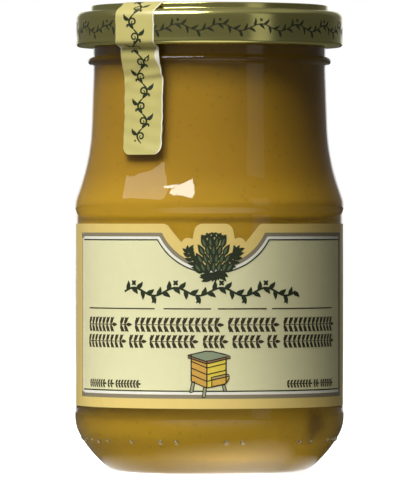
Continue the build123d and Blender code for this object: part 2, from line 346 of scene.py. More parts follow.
def slabs(grids, place, lift, sink):
    """Thin closed slabs on a surface, for printed shapes and for paper.

    grids holds one lattice of (across, up) for each slab, shape (n, rows, columns, 2), and
    place(across, up, lift) gives a point of the surface raised by lift. Each slab is its
    lattice at lift and again at -sink, with a wall between the two borders.
    """
    across, up = grids[..., 0], grids[..., 1]
    points = np.stack([place(across, up, lift), place(across, up, -sink)], 1)
    n, _, rows, columns, _ = points.shape
    index = np.arange(n * 2 * rows * columns).reshape(n, 2, rows, columns)
    border = np.concatenate([
        index[:, :, 0, :], index[:, :, 1:, -1],
        index[:, :, -1, -2::-1], index[:, :, -2:0:-1, 0]], axis=2)
    after = np.roll(border, -1, axis=2)
    rim = np.stack([after[:, 0], border[:, 0], border[:, 1], after[:, 1]], -1)
    faces = [lattice_faces(index[:, 0]), lattice_faces(index[:, 1])[:, ::-1],
             rim.reshape(-1, 4)]
    return points, faces


# ---- drawn shapes, in millimetres ----
SAMPLES = 15
ALONG = np.linspace(0, 1, SAMPLES)
HAIR = 0.03


def spread(*values):
    """The values brought to one length, each as a column."""
    return (v.ravel()[:, None] for v in np.broadcast_arrays(*map(np.atleast_1d, values)))


def ribbons(paths, half_widths):
    """Lattices (n, samples, 2, 2) of strokes from centre lines and half widths.

    The two border points lie half a width to the left and to the right of the line.
    """
    ahead = direction(paths)
    left = np.stack([-ahead[..., 1], ahead[..., 0]], -1) * half_widths[..., None]
    return np.stack([paths + left, paths - left], 2)


def leaves(x, y, size, angle, breadth, bow=0.12):
    """Lens-shaped strokes that start at (x, y) and point along angle, in degrees.

    The middle line bows sideways by bow times the length, as a half sine, and the half
    width is a sine that is fullest nearer to the foot.
    """
    x, y, size, angle, breadth, bow = spread(x, y, size, np.radians(angle), breadth, bow)
    along, aside = size * ALONG, size * bow * np.sin(math.pi * ALONG)
    path = np.stack([x + along * np.cos(angle) - aside * np.sin(angle),
                     y + along * np.sin(angle) + aside * np.cos(angle)], -1)
    return ribbons(path, HAIR + breadth / 2 * np.sin(math.pi * ALONG ** 0.8))


def curls(x, y, size, angle, turns, thick):
    """Spiral tendrils that start at (x, y), heading along angle, and wind inwards.

    The radius falls from size to a seventh of it while the angle turns evenly, and the
    stroke is thickest a third of the way along.
    """
    x, y, size, angle, turns = spread(x, y, size, np.radians(angle), turns)
    side = np.sign(turns)
    centre_x, centre_y = x - side * size * np.sin(angle), y + side * size * np.cos(angle)
    at = angle - side * math.pi / 2 + 2 * math.pi * turns * ALONG
    radius = size * (1 - 6 / 7 * ALONG ** 0.9)
    path = np.stack([centre_x + radius * np.cos(at), centre_y + radius * np.sin(at)], -1)
    return ribbons(path, HAIR + thick / 2 * np.sin(math.pi * ALONG ** 0.6) + 0 * at)


def line(points, width):
    """One stroke of even width through a few points, with straight runs between them."""
    points = np.array(points, float)
    reach = reach_along(points)
    at = ALONG * reach[-1]
    path = np.stack([np.interp(at, reach, points[:, i]) for i in (0, 1)], -1)
    return ribbons(path[None], np.full((1, SAMPLES), width / 2))


def dots(x, y, radius):
    """Round spots, as strokes whose half width is a half circle."""
    x, y, radius = spread(x, y, radius)
    swing = -np.cos(math.pi * ALONG)
    path = np.stack([x + radius * swing, y + 0 * swing], -1)
    return ribbons(path, radius * np.sqrt(np.clip(1 - swing ** 2, 0.002, 1)))


def patches(*corners):
    """Four-sided fields, each from its lower left, lower right, upper right, upper left."""
    a, b, c, d = (np.array(corners, float)[:, i, None, None] for i in range(4))
    u = np.linspace(0, 1, 6)[None, None, :, None]
    v = ALONG[None, :, None, None]
    return (a * (1 - u) + b * u) * (1 - v) + (d * (1 - u) + c * u) * v


def oblong(x0, y0, x1, y1):
    """The corners of an upright oblong, for patches."""
    return [(x0, y0), (x1, y0), (x1, y1), (x0, y1)]


def field(arcs, low, high, rows=8):
    """One lattice that fills the space between two heights given at each arc."""
    share = np.linspace(0, 1, rows)[:, None]
    up = (low + 0 * arcs) * (1 - share) + (high + 0 * arcs) * share
    return np.stack([arcs + 0 * up, up], -1)[None]


def arc_through(a, b, c, count=14):
    """Points on the circle through three points, from the first to the last.

    The centre solves 2 (p - a) . m = |p|^2 - |a|^2 for p = b and p = c.
    """
    a, b, c = (np.array(p, float) for p in (a, b, c))
    middle = np.linalg.solve(2 * np.array([b - a, c - a]),
                             [b @ b - a @ a, c @ c - a @ a])
    first, half, last = (math.atan2(*(p - middle)[::-1]) for p in (a, b, c))
    half = first + (half - first + math.pi) % (2 * math.pi) - math.pi
    last = half + (last - half + math.pi) % (2 * math.pi) - math.pi
    at = np.linspace(first, last, count)
    return middle + math.dist(a, middle) * np.stack([np.cos(at), np.sin(at)], 1)


# ---- materials ----
def add(tree, kind, inputs=None, **settings):
    """Adds a shader node; inputs hold a value or a (node, output) link for each socket."""
    made = tree.nodes.new("ShaderNode" + kind)
    for key, value in settings.items():
        setattr(made, key, value)
    for key, value in (inputs or {}).items():
        if isinstance(value, tuple) and isinstance(value[0], bpy.types.Node):
            tree.links.new(value[0].outputs[value[1]], made.inputs[key])
        else:
            made.inputs[key].default_value = value
    return made


def noise(tree, place, scale, detail=2.0):
    """A cloudy value; the scale is in waves per metre."""
    return add(tree, "TexNoise", {"Vector": place, "Scale": scale, "Detail": detail}), "Fac"


def ramp(tree, value, start, end, low=0.0, high=1.0):
    """A value's range from start to end, mapped to low to high and held beyond both."""
    return add(tree, "MapRange", {"Value": value, "From Min": start, "From Max": end,
                                  "To Min": low, "To Max": high}), 0


def maths(tree, operation, first, second):
    """Two values joined by one of the maths node's operations."""
    return add(tree, "Math", {0: first, 1: second}, operation=operation), 0


def blend(tree, share, first, second):
    """The first colour where the share is 0, the second where it is 1."""
    return add(tree, "Mix", {0: share, 6: first, 7: second}, data_type="RGBA"), 2


def scaled(tree, place, scale):
    """Coordinates with their own scale along each axis."""
    return add(tree, "Mapping", {"Vector": place, "Scale": scale}), 0


def distance(tree, place, centre):
    """How far a place is from a centre."""
    return add(tree, "VectorMath", {0: place, 1: centre}, operation="DISTANCE"), 1


def bump(tree, height, strength, depth):
    """A normal that is tilted as if the height stood out of the surface."""
    return add(tree, "Bump", {"Height": height, "Strength": strength, "Distance": depth}), 0


def new_material(name):
    """An empty node material, its tree and its object coordinates."""
    material = bpy.data.materials.new(name)
    material.use_nodes = True
    tree = material.node_tree
    tree.nodes.clear()
    return material, tree, (add(tree, "TexCoord"), "Object")


def end_with(tree, shader):
    """Ends a material with its shader node."""
    add(tree, "OutputMaterial", {"Surface": (shader, 0)})


def end_principled(tree, **inputs):
    """Ends a material with a principled shader; an input's spaces are written as _."""
    sockets = {name.replace("_", " "): value for name, value in inputs.items()}
    end_with(tree, add(tree, "BsdfPrincipled", sockets))


def flint_glass(jar):
    """Flint glass, pressed and blown in an iron mould: clear, with a faint ripple that
    bends the reflections."""
    material, tree, place = new_material("flint_glass_moulded")
    end_principled(tree, Base_Color=tuple(jar.glass), Roughness=0.0, IOR=1.52,
                   Transmission_Weight=1.0,
                   Normal=bump(tree, noise(tree, place, 150.0, 3.0), 0.35, 0.20 * MM))
    return material


def mustard_paste(jar):
    """Mustard, ground and stirred: an even paste with soft darker streaks, a brown smear low
    on the right, and specks of seed hull. Up in the neck it is painted darker, as painted
    shade of the lid. The hulls are 0.2 mm, and are drawn twice that so that they show."""
    material, tree, place = new_material("mustard_ground_paste")
    layers = noise(tree, scaled(tree, place, (40.0, 40.0, 160.0)), 1.0, 4.0)
    tone = blend(tree, layers, tuple(jar.paste), tuple(jar.paste_dark))
    axes = add(tree, "SeparateXYZ", {0: place})
    # painted shade: the paste darkens up in the neck, where the lid's overhang shades it
    neck_shade_share = ramp(tree, (axes, "Z"), NECK_SHADE_LOW_Z, NECK_SHADE_HIGH_Z)
    neck_shaded_tone = blend(tree, neck_shade_share, tone, tuple(jar.paste_neck_shade))
    away = distance(tree, place, tuple(around(SMEAR_R, SMEAR_TURN, SMEAR_Z)))
    within = ramp(tree, away, SMEAR_CORE, SMEAR_EDGE, 1.0, 0.0)
    patchy = maths(tree, "MULTIPLY", within, noise(tree, place, 350.0, 4.0))
    smear = ramp(tree, patchy, 0.12, 0.55, 0.0, 0.75)
    grain = add(tree, "TexVoronoi", {"Vector": place, "Scale": 420.0})
    speck = ramp(tree, (grain, "Distance"), 0.22, 0.10, 0.0, 0.20)
    marks = maths(tree, "MAXIMUM", speck, smear)
    end_principled(tree, Base_Color=blend(tree, marks, neck_shaded_tone, tuple(jar.seeds)),
                   Roughness=0.6, IOR=1.4, Specular_IOR_Level=0.05)
    return material


def lacquered_tinplate(lid):
    """Tinplate under clear gold lacquer, pressed: a metal with soft-edged reflections,
    the rolling lines of the sheet and slightly uneven lacquer."""
    material, tree, place = new_material("tinplate_gold_lacquered")
    cloud = noise(tree, place, 55.0)
    rolling = noise(tree, scaled(tree, place, (2500.0, 2500.0, 60.0)), 1.0)
    end_principled(tree, Base_Color=blend(tree, cloud, tuple(lid.lacquer), tuple(lid.worn)),
                   Metallic=1.0, Roughness=ramp(tree, cloud, 0.0, 1.0, 0.16, 0.24),
                   Normal=bump(tree, rolling, 0.10, 0.02 * MM))
    return material


def coated_paper(name, colour, roughness=0.42, specular=0.35):
    """Clay-coated label paper and the inks printed on it: matt to silky, with the faint
    mottle of ink on pulp. Fibres are 0.03 mm wide and are drawn at 0.25 mm to show."""
    material, tree, place = new_material(name)
    mottled = (*(0.93 * part for part in colour[:3]), 1.0)
    tone = blend(tree, noise(tree, place, 400.0, 4.0), tuple(colour), mottled)
    end_principled(tree, Base_Color=tone, Roughness=roughness, Specular_IOR_Level=specular,
                   Normal=bump(tree, noise(tree, place, 4000.0), 0.10, 0.02 * MM))
    return material


# ---- the glass jar and the mustard ----
def shoulder_sweep():
    """The cone's slope, in degrees, and the radius of the hollow sweep to the neck.

    The cone's line and the neck's line meet in a corner that lies as far from each end of
    the sweep, so the corner's tangent to the round at the shoulder's foot is as long as
    that distance and the cone together.
    """
    span = np.array([neck_foot_r - body_r + SHOULDER_RADIUS, neck_low_z - shoulder_z])
    down = np.array([math.sin(NECK_SLOPE), -math.cos(NECK_SLOPE)])
    power = span @ span - SHOULDER_RADIUS ** 2 - SHOULDER_CONE ** 2
    tangent = power / (2 * (SHOULDER_CONE - span @ down))
    corner = span + down * tangent
    slope = math.atan2(corner[1], corner[0]) - math.atan2(SHOULDER_CONE + tangent,
                                                         SHOULDER_RADIUS)
    return math.degrees(slope), tangent / math.tan((slope - NECK_SLOPE) / 2)


def shoulder_and_neck(path, inset, end_r):
    """Round, cone, hollow sweep and neck, moved inwards by inset, up to the radius end_r."""
    slope, sweep_radius = shoulder_sweep()
    lean = math.degrees(NECK_SLOPE)
    path = walk(path, 90, (SHOULDER_RADIUS - inset, slope), (SHOULDER_CONE, 0),
                (sweep_radius + inset, lean - slope))
    return walk(path, 90 + lean, ((path[-1, 0] - end_r) / math.sin(NECK_SLOPE), 0))


def upright(path, z):
    """A straight run up or down to the height z."""
    rise = z - path[-1, 1]
    return walk(path, math.copysign(90, rise), (abs(rise), 0))


def s_step(path, inwards):
    """Two tangent arcs that lead an upright line inwards over the height of a step; their
    turn is twice the angle of the chord."""
    lean = 2 * math.degrees(math.atan2(inwards, STEP_HEIGHT))
    bend = STEP_HEIGHT / (2 * math.sin(math.radians(abs(lean))))
    return walk(path, 90, (bend, lean), (bend, -lean))


def glass_outside():
    """The outer half section, from the axis under the base up to the rim."""
    headings = np.radians(np.cumsum([0, *(turned for _, turned in HEEL)]))
    heel_r = np.diff(np.sin(headings)) @ [radius for radius, _ in HEEL]
    land_r = body_r - heel_r - STAND_LAND
    dome_r = land_r - PUSH_UP_EDGE
    dome = arc_through((0, PUSH_UP), (dome_r / 2, PUSH_UP * 0.95), (dome_r, PUSH_UP * 0.8))
    path = walk([*dome, (land_r, 0)], 0, (STAND_LAND, 0), *HEEL)
    path = upright(path, label_low_z - LABEL_LOW_GAP - STEP_HEIGHT)
    path = s_step(path, LOW_STEP)
    path = s_step(path, PANEL_RECESS - LOW_STEP)
    path = upright(path, label_top_z + LABEL_HIGH_GAP)
    path = upright(s_step(path, -PANEL_RECESS), shoulder_z)
    path = shoulder_and_neck(path, 0, neck_r)
    apart = BEAD_RADIUS + BEAD_BLEND
    sideways = BEAD_REACH - apart
    rise = math.sqrt(apart ** 2 - sideways ** 2)
    round_off = 180 - math.degrees(math.atan2(rise, sideways))
    path = upright(path, lid_low_z - BEAD_DROP - rise)
    path = walk(path, 90, (BEAD_BLEND, -round_off), (BEAD_RADIUS, 2 * round_off),
                (BEAD_BLEND, -round_off))
    path = upright(path, rim_z - RIM_ROUND)
    return walk(path, 90, (RIM_ROUND, 90), (wall - 2 * RIM_ROUND, 0), (RIM_ROUND, 90))


def glass_inside(inset, top_z):
    """The inner half section, from the axis on the floor up to top_z; inset is the wall."""
    side_r = body_r - inset - INNER_STEP
    path = walk((0, floor_z + inset - wall), 0, (side_r - INNER_HEEL_RADIUS, 0),
                (INNER_HEEL_RADIUS, 90))
    path = upright(path, label_top_z - INNER_STEP_DROP)
    path = upright(s_step(path, -INNER_STEP), shoulder_z)
    return upright(shoulder_and_neck(path, inset, neck_r - inset), top_z)


def wandering(depth, lobes):
    """Slow waves round and up a wall: products of sines with whole numbers of lobes."""
    def wander(a, r, z):
        up = z / WAVE_Z
        wave = (np.sin(lobes * a + 1.3 * up) * np.sin(0.7 * up + 0.4)
                + 0.6 * np.sin((lobes + 4) * a - 0.9 * up + 1.0))
        return -depth * (0.5 + 0.3 * wave) * np.clip(r / body_r * 2 - 1, 0, 1)
    return wander


def build_glass(jar):
    """The jar, one closed shell, and the mould's marks on its heel."""
    outer = glass_outside()
    inner = glass_inside(wall, rim_z - RIM_ROUND)
    shell = lathe(np.concatenate([outer, inner[-2::-1]]), jar.segments,
                  wandering(jar.waviness, 5))
    glass = flint_glass(jar)
    piece = make_piece("jar_shell", *shell, glass, "clear_glass", 60.0)
    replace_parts(piece, "jar_glass")
    marks = make_piece("mould_marks", *mould_marks(outer), glass, "clear_glass")
    for made in (piece, marks):
        made.visible_shadow = False


def mould_marks(outer):
    """Low glass beads round the heel, as a mould leaves them: a ring with places empty.

    Each bead is an ellipsoid half sunk in the wall, a lathe of a half circle, turned to
    the wall's normal there.
    """
    places = [i for i in range(MARKS_PLACES) if i not in MARKS_EMPTY]
    a = np.radians(MARKS_START + MARKS_SPACING * np.array(places))[:, None]
    rising = outer[np.argmax(outer[:, 0] > body_r * 0.7):]
    at = int(np.argmax(rising[:, 1] > MARKS_Z))
    tilt = math.atan2(*(rising[at + 1] - rising[at - 1])[::-1]) - math.pi / 2
    swing = np.linspace(-math.pi / 2, math.pi / 2, 9)
    half_circle = np.stack([np.cos(swing) * MARK_R, np.sin(swing) * MARK_RISE], 1)
    bead, faces = lathe(half_circle, 14)
    side = around(1, a + math.pi / 2, 0)
    out = around(math.cos(tilt), a, math.sin(tilt))
    centre = around(rising[at, 0], a, rising[at, 1])
    points = (centre + bead[:, :1] * side + bead[:, 1:2] * np.cross(out, side)
              + bead[:, 2:] * out)
    shift = np.arange(len(a))[:, None, None] * len(bead)
    return points, [(face + shift).reshape(-1, face.shape[1]) for face in faces]


def build_mustard(jar):
    """The filling: the jar's inside, a little into the wall, with a meniscus on top that
    falls away from the wall as an exponential."""
    side = glass_inside(wall - jar.into_wall, mustard_z)
    edge_r = side[-1, 0]
    r = np.linspace(edge_r, 0, 40)[1:]
    drop = MENISCUS_DROP * (1 - np.exp(-(edge_r - r) / MENISCUS_REACH))
    section = np.concatenate([side, np.stack([r, mustard_z - drop], 1)])
    piece = make_piece("mustard_fill", *lathe(section, jar.segments), mustard_paste(jar),
                       "mustard")
    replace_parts(piece, "mustard")


# ---- the lid ----
def lid_sheet():
    """Outer face of the sheet, from the middle of the button to the end of the roll."""
    path = walk((0, lid_top_z - BUTTON_DEPTH), 0, (BUTTON_R - BUTTON_SIDE, 0))
    path = walk(path, math.degrees(math.atan2(BUTTON_DEPTH, BUTTON_SIDE)),
                (math.hypot(BUTTON_DEPTH, BUTTON_SIDE), 0))
    path = walk(path, 0, (lid_panel_r - PANEL_ROUND - BUTTON_R, 0), (PANEL_ROUND, -90),
                (LID_STEP - PANEL_ROUND - FOOT_ROUND, 0), (FOOT_ROUND, 90),
                (LEDGE - FOOT_ROUND - SHOULDER_ROUND, 0), (SHOULDER_ROUND, -90))
    lean = 2 * math.degrees(math.atan2(SKIRT_INSET, ROLL_RADIUS))
    bend = ROLL_RADIUS / (2 * math.sin(math.radians(lean)))
    drop = path[-1, 1] - lid_low_z - 2 * ROLL_RADIUS
    return walk(path, -90, (drop, 0), (bend, lean), (bend, -lean), (ROLL_RADIUS, -ROLL_TURN))


def build_lid(lid):
    """The pressed lid: its outer face and, a sheet's thickness inside, its inner face."""
    outer = lid_sheet()
    ahead = direction(outer)
    inner = outer + np.stack([ahead[:, 1], -ahead[:, 0]], 1) * SHEET
    tin = "gold_lacquered_tinplate"
    piece = make_piece("lid_shell", *lathe(np.concatenate([inner, outer[::-1]]), 256),
                       lacquered_tinplate(lid), tin)
    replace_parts(piece, "lid")
    drawn = garland(lid.garland_height / MM, 2 * math.pi * skirt_r / MM, 20, 0.8)
    drawn[..., 1] += (lid_low_z + lid.garland_low) / MM
    printed("lid_garland", drawn, on_wall(skirt_r),
            coated_paper("skirt_ink", lid.ink, 0.3, 0.5), tin)


def on_wall(radius, turned=0.0):
    """Returns place(arc, z, lift) for a round upright wall, arc and z in mm."""
    def place(across, z, lift):
        return around(radius + lift, across * MM / radius + turned, z * MM)
    return place


# ---- ornament ----
def garland(height, reach, waves, weight=1.0):
    """A leafy branch of the given height and reach, from -reach / 2 to reach / 2.

    The stem is a sine, one stroke for each wave. Leaves lean forward on both sides of it
    in turn, eight for each wave, and a small flower stands at every crest and trough.
    """
    wave = reach / waves
    x0 = -reach / 2 + np.arange(waves) * wave
    t = x0[:, None] + wave * ALONG * 1.01
    per_mm = 2 * math.pi / wave
    sway = height * 0.15

    def stem_y(x):
        return height * 0.5 + sway * np.sin((x + reach / 2) * per_mm)

    stem = ribbons(np.stack([t, stem_y(t)], -1), height * weight * 0.03 + 0 * t)
    k = np.arange(8 * waves)
    x = -reach / 2 + (k + 0.5) * wave / 8
    slope = np.degrees(np.arctan(sway * per_mm * np.cos((x + reach / 2) * per_mm)))
    side = np.where(k % 2, -1.0, 1.0)
    leaf = leaves(x, stem_y(x), height * 0.36, slope + side * 52, height * weight * 0.13,
                  -side * 0.12)
    crest = -reach / 2 + (np.arange(2 * waves) + 0.5) * wave / 2
    up = np.where(np.arange(2 * waves) % 2, -1.0, 1.0)
    flower = flowers(crest, height * (0.5 + 0.33 * up), height * 0.10 * weight)
    return np.concatenate([stem, leaf, flower])


def vine(height, reach, waves):
    """A scrolling vine of the given height and reach, from -reach / 2 to reach / 2.

    The stem is a sine with one stroke for each half wave. Each half wave carries a tendril
    that winds into its hollow, a leaf on each side and a bud.
    """
    half = reach / (2 * waves)
    k = np.arange(2 * waves)
    side = np.where(k % 2, -1.0, 1.0)
    x0 = -reach / 2 + k * half
    t = x0[:, None] + half * ALONG * 1.06
    sway = np.sin((t + reach / 2) / half * math.pi)
    stem_path = np.stack([t, height * (0.5 + 0.26 * sway)], -1)
    stem = ribbons(stem_path, height * (0.02 + 0.035 * np.sin(math.pi * ALONG)) + 0 * t)
    top = height * (0.5 + 0.26 * side)
    tendril = curls(x0 + half * 0.52, top, height * 0.22, np.where(side > 0, -8, 8),
                    -1.3 * side, height * 0.085)
    leaf = leaves(x0 + half * 0.62, top, height * 0.46, side * 50, height * 0.19, side * 0.18)
    low_leaf = leaves(x0 + half * 0.98, height * 0.5, height * 0.5, -side * 62,
                      height * 0.17, side * 0.2)
    bud = dots(x0 + half * 0.2, top + side * height * 0.12, height * 0.055)
    return np.concatenate([stem, tendril, leaf, low_leaf, bud])


def sprigs(groups, height, pitch, breadth):
    """Rows of laurel sprigs: a stem half way up, pairs of leaves along it that point up
    and down as they go, a leaf at its tip and berries between. groups are (start, end)."""
    drawn = []
    middle, size = height / 2, height * 0.66
    for start, end in groups:
        count = max(1, round((end - start) / pitch))
        x = start + (np.arange(count) + 0.1) * (end - start) / count
        for side in (1, -1):
            drawn.append(leaves(x, middle, size, 56 * side, breadth, 0.10 * side))
            drawn.append(dots(x + pitch * 0.2, height * (0.5 + 0.46 * side), breadth * 0.3))
        drawn.append(leaves(x[-1] + pitch * 0.3, middle, size * 0.8, 0, breadth, 0.0))
        drawn.append(line([(start, middle), (x[-1] + pitch * 0.4, middle)], 0.16))
    return np.concatenate(drawn)


def posy():
    """A posy of mustard greens below a tuft of flowers: on each side an arched branch with
    pairs of leaves, between them upright leaves, and a ruff of broad leaves below."""
    drawn = []
    for side in (-1, 1):
        along = np.linspace(0, 1, 7)
        x = side * (1.2 + 4.2 * np.sin(along * 1.45))
        y = -11.3 + 4.9 * along
        drawn.append(line(np.stack([x, y], 1), 0.4))
        heading = np.degrees(np.arctan2(np.gradient(y), np.gradient(x)))
        for lean in (-44, 44):
            drawn.append(leaves(x, y, 1.9, heading + lean, 0.85, 0.08))
        drawn.append(leaves(x[-1], y[-1], 1.7, heading[-1], 0.8))
    for x, depth in posy_rows():
        drawn.append(leaves(x * 0.8, -depth, 2.9, 90 - x * 9, 1.3, 0.05 * np.sign(x)))
    drawn.append(leaves(0.0, -11.0, 3.4, [196, 214, 326, 344], 1.3, 0.1))
    drawn.append(leaves(0.0, -10.9, 2.1, [236, 258, 282, 304], 1.1, 0.06))
    x = np.array([-1.9, -1.0, 0.0, 1.0, 1.9])
    drawn.append(leaves(x * 0.4, -5.0, 2.4, 90 - x * 15, 0.7))
    drawn.append(flowers(x * 1.15, -2.5 - 0.15 * x ** 2, 0.85))
    return np.concatenate(drawn)


def posy_rows():
    """The rows of upright leaves: how far each leaf stands aside, and the row's depth."""
    rows = ((7, 3.9, 10.9), (6, 3.3, 9.0), (5, 2.9, 7.2), (4, 2.3, 5.4))
    return [(np.linspace(-reach, reach, count), depth) for count, reach, depth in rows]


def posy_veins():
    """Short light strokes in the middle of the posy's upright leaves."""
    return np.concatenate([leaves(x * 0.8, 0.4 - depth, 1.7, 90 - x * 9, 0.42, 0.04)
                           for x, depth in posy_rows()])


def flowers(x, y, size):
    """Four petals at right angles round each point."""
    return np.concatenate([leaves(x, y, size, 45 + 90 * k, size * 0.62, 0.0)
                           for k in range(4)])


def printed(name, grids, place, material, slot, lift=INK_LIFT):
    """A printed shape: slabs that stand a little out of their surface and reach into it."""
    return make_piece(name, *slabs(grids, place, lift, INK_SINK), material, slot, 25.0)


# ---- the label ----
def die_cut_edge():
    """The die-cut half edge as one line of (arc, depth) in mm."""
    tab, lobe, notch, end = (arc_through(*a) for a in (TAB, LOBE, NOTCH, NOTCH_END))
    return np.concatenate([tab, lobe, notch[1:], end[1:]])


def top_depth(arcs):
    """Depth of the die-cut edge below the label's top at each arc, in mm."""
    edge = die_cut_edge()
    return np.interp(np.abs(arcs), edge[:, 0], edge[:, 1], left=0.0, right=0.0)


def label_arcs(low, high):
    """Arcs between two values, close together along the die-cut edge and the frame."""
    edge = die_cut_edge()[:, 0]
    fine = np.linspace(-FINE_HALF, FINE_HALF, 129)
    coarse = np.arange(-LONGEST_HALF, LONGEST_HALF)
    every = np.concatenate([edge, -edge, fine, coarse, [low, high]])
    return np.unique(np.round(every[(every >= low) & (every <= high)], 4))


def medallion_depth(label, arcs, out):
    """Depth in mm of a frame line that lies out below the gold: straight, then round."""
    radius = label.medallion_r / MM + out
    bulge = np.sqrt(np.clip(radius ** 2 - arcs ** 2, 0, None))
    return np.maximum(label.top_border / MM + out * 0.95,
                      bulge - label.medallion_rise / MM)


def label_press(label):
    """Returns drawn(), which prints on the label; grids are in mm, across from the label's
    middle and up from its top, and are moved down by depth and to the right by aside."""
    place = on_wall(label_r, label.turned)

    def drawn(name, grids, material, depth=0.0, lift=ORNAMENT_LIFT, aside=0.0):
        grids = grids + np.array([aside, label_top_z / MM - depth])
        return printed(f"label_{name}", grids, place, material, "label_paper", lift)
    return drawn


def build_label(label):
    """The paper sleeve, and the border and frame lines printed on it."""
    height = (label_top_z - label_low_z) / MM
    end = (math.pi * label_r - label.back_gap / 2) / MM
    arcs = label_arcs(-end, end)
    cut = -top_depth(arcs)
    sleeve = field(arcs, -height, cut, 14) + np.array([0, label_top_z / MM])
    piece = make_piece("label_sleeve",
                       *slabs(sleeve, on_wall(label_r, label.turned), 0.0, label.thickness),
                       coated_paper("label_paper_coated", label.paper), "label_paper", 25.0)
    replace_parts(piece, "label")

    press = label_press(label)
    gold = coated_paper("gold_printing_ink", label.gold, 0.36, 0.5)
    taupe = coated_paper("taupe_printing_ink", label.taupe)
    white = coated_paper("white_printing_ink", label.white)
    ink = coated_paper("dark_green_printing_ink", label.ink)

    def flat(name, grids, material):
        press(name, grids, material, lift=INK_LIFT)

    side = label.frame_half / MM
    low, top = label.bottom_border / MM - height, -label.top_border / MM
    flat("gold_top", field(arcs, -medallion_depth(label, arcs, 0), cut), gold)
    flat("gold_bottom", field(arcs, -height, low), gold)
    flat("gold_left", field(label_arcs(-end, -side), low, top), gold)
    flat("gold_right", field(label_arcs(side + BAND_OUT, end), low, top), gold)
    arcs = label_arcs(LINE_START - side, side - BAND_IN)
    for name, material, near, far in (("taupe", taupe, 0.0, 0.9), ("white", white, 0.9, 1.5),
                                      ("dark", ink, 1.55, 1.82)):
        flat(f"{name}_line_top", field(arcs, -medallion_depth(label, arcs, far),
                                       -medallion_depth(label, arcs, near), 3), material)
        flat(f"{name}_line_bottom", field(arcs, low + near, low + far, 3), material)
    flat("side_line", patches(oblong(-side, low, 0.28 - side, top)), ink)
    flat("side_white", patches(oblong(0.3 - side, low, 0.8 - side, top)), white)
    flat("side_band", field(label_arcs(side - BAND_IN, side + BAND_OUT), low, top, 3), taupe)


def build_label_print(label):
    """The ornaments on the label: posy, garland, rules, leaf rows, hive and back panels."""
    drawn = label_press(label)
    green = coated_paper("posy_green_ink", label.ink)
    brown = coated_paper("leaf_row_brown_ink", label.brown_ink)
    light_green = coated_paper("posy_light_green_ink", linear("#5F6B4A"))
    drawn("posy", posy(), green)
    drawn("posy_veins", posy_veins(), light_green, lift=OVERPRINT_LIFT)
    drawn("garland", garland(6.0, 41.3, 4, 1.25), green, 18.2, aside=-0.85)
    rules = [(-34.2, -13.6), (-11.4, -0.6), (0.9, 12.2), (13.6, 33.6)]
    drawn("rules", np.concatenate([line([(a, 0), (b, 0)], 0.26) for a, b in rules]), brown, 19.0)
    rows = (("first", 24.1, 3.0, 1.45, 0.74, (
                (-34.2, -24.6), (-22.8, -20.4), (-18.6, 1.6), (3.2, 14.8), (16.6, 33.8))),
            ("second", 27.7, 2.7, 1.35, 0.70, (
                (-34.4, -21.6), (-20.2, -16.2), (-14.8, -4.0), (-2.4, 2.6), (4.2, 11.0),
                (12.4, 15.2), (16.6, 33.8))),
            ("left", 36.7, 1.6, 0.9, 0.40, (
                (-33.8, -27.6), (-26.8, -25.0), (-24.2, -17.4))),
            ("right", 36.7, 1.6, 0.9, 0.40, (
                (17.6, 25.0), (25.8, 27.6), (28.4, 33.8))))
    for name, depth, height, pitch, breadth, groups in rows:
        drawn(f"sprigs_{name}", sprigs(groups, height, pitch, breadth), brown, depth)
    build_hive(drawn)
    side = label.frame_half / MM
    low = (label_low_z - label_top_z + label.bottom_border) / MM
    crosses = [line([(x - 0.42, z - 0.62 * lean), (x + 0.42, z + 0.62 * lean)], 0.16)
               for z in (-label.top_border / MM - 0.6, low + 0.6)
               for lean in (-1, 1) for x in (-side - 0.1, -side + 0.75)]
    drawn("corner_crosses", np.concatenate(crosses), brown, lift=0.05 * MM)
    build_label_back(label, drawn)


